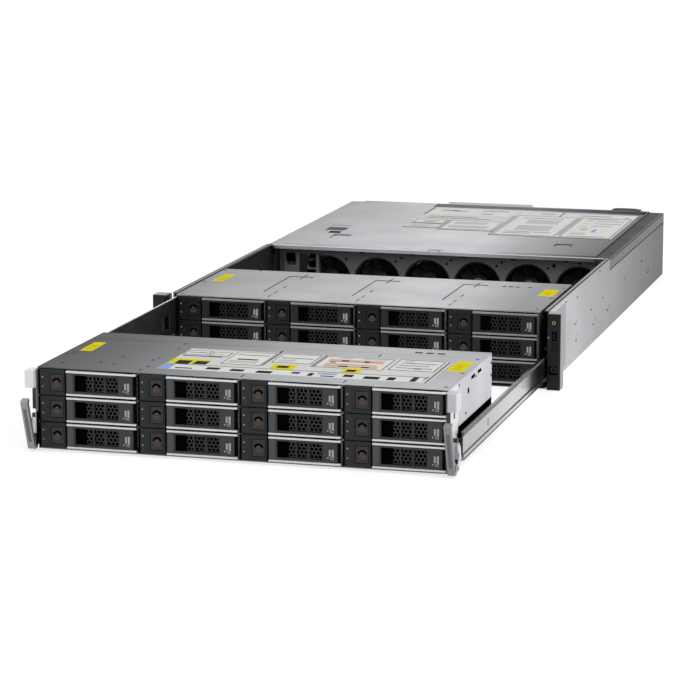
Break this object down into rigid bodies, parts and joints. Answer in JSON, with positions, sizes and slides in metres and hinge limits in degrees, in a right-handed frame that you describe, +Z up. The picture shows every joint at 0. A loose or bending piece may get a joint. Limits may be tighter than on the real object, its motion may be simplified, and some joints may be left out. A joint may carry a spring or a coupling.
{
  "type": "rack server",
  "caption": "Two-unit rack server with a front drive bay drawn out on slides and a second drive bay behind it, hot-swap carriers, fans and rear supplies.",
  "frame": {"origin": "middle of the underside of the chassis floor", "axes": "+X to the right seen from the front, +Y to the rear, +Z up"},
  "size_m": [0.482, 1.2948, 0.0868],
  "materials": {
    "zinc_steel": "plated sheet steel, fine satin, slightly spangled",
    "lid_steel": "plated sheet steel lids, satin with faint rolling lines",
    "slide_steel": "bright rolled slide rails",
    "dark_sheet": "dark grey coated sheet",
    "carrier_plastic": "dark grey moulded plastic with bright strips",
    "ear_plastic": "black moulded plastic",
    "cap_metal": "bright cast aluminium, bead blasted",
    "lever_metal": "cast aluminium, satin",
    "fan_plastic": "black fan plastic",
    "board": "green circuit board",
    "cooler_aluminium": "milled aluminium fins",
    "shroud_plastic": "black air duct",
    "port_steel": "plated connector shells",
    "supply_case": "power supply case",
    "button_plastic": "lit power button",
    "latch_plastic": "dark latch lever"
  },
  "bodies": {
    "chassis": {"chassis_pan": "zinc_steel", "rear_wall": "zinc_steel", "io_ports": "port_steel", "fan_wall": "dark_sheet", "cable_bracket": "dark_sheet", "fan_frames": "fan_plastic", "system_board": "board", "heat_sinks": "cooler_aluminium", "air_shroud": "shroud_plastic", "expansion_cards": "zinc_steel", "ear_brackets": "slide_steel", "ear_left_panel": "ear_plastic", "ear_right_panel": "ear_plastic", "slide_channels": "slide_steel"},
    "cover": {"top_cover": "lid_steel"},
    "cover_latch_lever": {"cover_latch": "latch_plastic"},
    "power_button_cap": {"power_button": "button_plastic"},
    "supply_lower": {"power_supply_lower": "supply_case"},
    "supply_upper": {"power_supply_upper": "supply_case"},
    "front_bay": {"front_bay_cage": "dark_sheet", "front_bay_lid": "lid_steel", "front_backplane": "board", "bay_rails": "slide_steel", "cable_side_plate": "dark_sheet", "lever_brackets": "cap_metal"},
    "lever_left": {"release_lever_left": "lever_metal"},
    "lever_right": {"release_lever_right": "lever_metal"},
    "second_bay": {"second_bay_cage": "dark_sheet", "second_bay_lid": "lid_steel", "second_backplane": "board"},
    "rotor_1": {"fan_rotor_1": "fan_plastic"},
    "rotor_2": {"fan_rotor_2": "fan_plastic"},
    "rotor_3": {"fan_rotor_3": "fan_plastic"},
    "rotor_4": {"fan_rotor_4": "fan_plastic"},
    "rotor_5": {"fan_rotor_5": "fan_plastic"},
    "rotor_6": {"fan_rotor_6": "fan_plastic"},
    "front_drive_a1": {"front_carrier_a1": "carrier_plastic"},
    "front_drive_a2": {"front_carrier_a2": "carrier_plastic"},
    "front_drive_a3": {"front_carrier_a3": "carrier_plastic"},
    "front_drive_b1": {"front_carrier_b1": "carrier_plastic"},
    "front_drive_b2": {"front_carrier_b2": "carrier_plastic"},
    "front_drive_b3": {"front_carrier_b3": "carrier_plastic"},
    "front_drive_c1": {"front_carrier_c1": "carrier_plastic"},
    "front_drive_c2": {"front_carrier_c2": "carrier_plastic"},
    "front_drive_c3": {"front_carrier_c3": "carrier_plastic"},
    "front_drive_d1": {"front_carrier_d1": "carrier_plastic"},
    "front_drive_d2": {"front_carrier_d2": "carrier_plastic"},
    "front_drive_d3": {"front_carrier_d3": "carrier_plastic"},
    "second_drive_a1": {"second_carrier_a1": "carrier_plastic"},
    "second_drive_a2": {"second_carrier_a2": "carrier_plastic"},
    "second_drive_a3": {"second_carrier_a3": "carrier_plastic"},
    "second_drive_b1": {"second_carrier_b1": "carrier_plastic"},
    "second_drive_b2": {"second_carrier_b2": "carrier_plastic"},
    "second_drive_b3": {"second_carrier_b3": "carrier_plastic"},
    "second_drive_c1": {"second_carrier_c1": "carrier_plastic"},
    "second_drive_c2": {"second_carrier_c2": "carrier_plastic"},
    "second_drive_c3": {"second_carrier_c3": "carrier_plastic"},
    "second_drive_d1": {"second_carrier_d1": "carrier_plastic"},
    "second_drive_d2": {"second_carrier_d2": "carrier_plastic"},
    "second_drive_d3": {"second_carrier_d3": "carrier_plastic"}
  },
  "joints": [
    {"name": "front_bay_slide", "type": "slide", "parent": "chassis", "child": "front_bay", "axis": [0, -1, 0], "range_m": [-0.438, 0]},
    {"name": "second_bay_slide", "type": "slide", "parent": "chassis", "child": "second_bay", "axis": [0, -1, 0], "range_m": [-0.201, 0]},
    {"name": "release_lever_left_hinge", "type": "hinge", "parent": "front_bay", "child": "lever_left", "pos_m": [-0.221, -0.838, 0.0085], "axis": [1, 0, 0], "range_deg": [-20, 15]},
    {"name": "release_lever_right_hinge", "type": "hinge", "parent": "front_bay", "child": "lever_right", "pos_m": [0.221, -0.838, 0.0085], "axis": [1, 0, 0], "range_deg": [-20, 15]},
    {"name": "cover_slide", "type": "slide", "parent": "chassis", "child": "cover", "axis": [0, 1, 0], "range_m": [0, 0.014]},
    {"name": "cover_latch_hinge", "type": "hinge", "parent": "cover", "child": "cover_latch_lever", "pos_m": [-0.172, 0.1695, 0.0841], "axis": [-1, 0, 0], "range_deg": [0, 70]},
    {"name": "power_button_press", "type": "slide", "parent": "chassis", "child": "power_button_cap", "axis": [0, 1, 0], "range_m": [0, 0.0015], "stiffness_N_per_m": 400},
    {"name": "supply_lower_slide", "type": "slide", "parent": "chassis", "child": "supply_lower", "axis": [0, 1, 0], "range_m": [0, 0.185]},
    {"name": "supply_upper_slide", "type": "slide", "parent": "chassis", "child": "supply_upper", "axis": [0, 1, 0], "range_m": [0, 0.185]},
    {"name": "fan_spin_1", "type": "hinge", "parent": "chassis", "child": "rotor_1", "pos_m": [-0.15005, 0.0385, 0.04], "axis": [0, 1, 0], "continuous": true},
    {"name": "fan_spin_2", "type": "hinge", "parent": "chassis", "child": "rotor_2", "pos_m": [-0.08395, 0.0385, 0.04], "axis": [0, 1, 0], "continuous": true},
    {"name": "fan_spin_3", "type": "hinge", "parent": "chassis", "child": "rotor_3", "pos_m": [-0.01785, 0.0385, 0.04], "axis": [0, 1, 0], "continuous": true},
    {"name": "fan_spin_4", "type": "hinge", "parent": "chassis", "child": "rotor_4", "pos_m": [0.04825, 0.0385, 0.04], "axis": [0, 1, 0], "continuous": true},
    {"name": "fan_spin_5", "type": "hinge", "parent": "chassis", "child": "rotor_5", "pos_m": [0.11435, 0.0385, 0.04], "axis": [0, 1, 0], "continuous": true},
    {"name": "fan_spin_6", "type": "hinge", "parent": "chassis", "child": "rotor_6", "pos_m": [0.18045, 0.0385, 0.04], "axis": [0, 1, 0], "continuous": true},
    {"name": "front_drive_slide_a1", "type": "slide", "parent": "front_bay", "child": "front_drive_a1", "axis": [0, -1, 0], "range_m": [0, 0.165]},
    {"name": "front_drive_slide_a2", "type": "slide", "parent": "front_bay", "child": "front_drive_a2", "axis": [0, -1, 0], "range_m": [0, 0.165]},
    {"name": "front_drive_slide_a3", "type": "slide", "parent": "front_bay", "child": "front_drive_a3", "axis": [0, -1, 0], "range_m": [0, 0.165]},
    {"name": "front_drive_slide_b1", "type": "slide", "parent": "front_bay", "child": "front_drive_b1", "axis": [0, -1, 0], "range_m": [0, 0.165]},
    {"name": "front_drive_slide_b2", "type": "slide", "parent": "front_bay", "child": "front_drive_b2", "axis": [0, -1, 0], "range_m": [0, 0.165]},
    {"name": "front_drive_slide_b3", "type": "slide", "parent": "front_bay", "child": "front_drive_b3", "axis": [0, -1, 0], "range_m": [0, 0.165]},
    {"name": "front_drive_slide_c1", "type": "slide", "parent": "front_bay", "child": "front_drive_c1", "axis": [0, -1, 0], "range_m": [0, 0.165]},
    {"name": "front_drive_slide_c2", "type": "slide", "parent": "front_bay", "child": "front_drive_c2", "axis": [0, -1, 0], "range_m": [0, 0.165]},
    {"name": "front_drive_slide_c3", "type": "slide", "parent": "front_bay", "child": "front_drive_c3", "axis": [0, -1, 0], "range_m": [0, 0.165]},
    {"name": "front_drive_slide_d1", "type": "slide", "parent": "front_bay", "child": "front_drive_d1", "axis": [0, -1, 0], "range_m": [0, 0.165]},
    {"name": "front_drive_slide_d2", "type": "slide", "parent": "front_bay", "child": "front_drive_d2", "axis": [0, -1, 0], "range_m": [0, 0.165]},
    {"name": "front_drive_slide_d3", "type": "slide", "parent": "front_bay", "child": "front_drive_d3", "axis": [0, -1, 0], "range_m": [0, 0.165]},
    {"name": "second_drive_slide_a1", "type": "slide", "parent": "second_bay", "child": "second_drive_a1", "axis": [0, -1, 0], "range_m": [0, 0.165]},
    {"name": "second_drive_slide_a2", "type": "slide", "parent": "second_bay", "child": "second_drive_a2", "axis": [0, -1, 0], "range_m": [0, 0.165]},
    {"name": "second_drive_slide_a3", "type": "slide", "parent": "second_bay", "child": "second_drive_a3", "axis": [0, -1, 0], "range_m": [0, 0.165]},
    {"name": "second_drive_slide_b1", "type": "slide", "parent": "second_bay", "child": "second_drive_b1", "axis": [0, -1, 0], "range_m": [0, 0.165]},
    {"name": "second_drive_slide_b2", "type": "slide", "parent": "second_bay", "child": "second_drive_b2", "axis": [0, -1, 0], "range_m": [0, 0.165]},
    {"name": "second_drive_slide_b3", "type": "slide", "parent": "second_bay", "child": "second_drive_b3", "axis": [0, -1, 0], "range_m": [0, 0.165]},
    {"name": "second_drive_slide_c1", "type": "slide", "parent": "second_bay", "child": "second_drive_c1", "axis": [0, -1, 0], "range_m": [0, 0.165]},
    {"name": "second_drive_slide_c2", "type": "slide", "parent": "second_bay", "child": "second_drive_c2", "axis": [0, -1, 0], "range_m": [0, 0.165]},
    {"name": "second_drive_slide_c3", "type": "slide", "parent": "second_bay", "child": "second_drive_c3", "axis": [0, -1, 0], "range_m": [0, 0.165]},
    {"name": "second_drive_slide_d1", "type": "slide", "parent": "second_bay", "child": "second_drive_d1", "axis": [0, -1, 0], "range_m": [0, 0.165]},
    {"name": "second_drive_slide_d2", "type": "slide", "parent": "second_bay", "child": "second_drive_d2", "axis": [0, -1, 0], "range_m": [0, 0.165]},
    {"name": "second_drive_slide_d3", "type": "slide", "parent": "second_bay", "child": "second_drive_d3", "axis": [0, -1, 0], "range_m": [0, 0.165]}
  ],
  "couplings": [
    {"joint": "second_bay_slide", "follows": "front_bay_slide", "ratio": 0.4589},
    {"joint": "cover_latch_hinge", "follows": "cover_slide", "rad_per_m": 87.258}
  ]
}
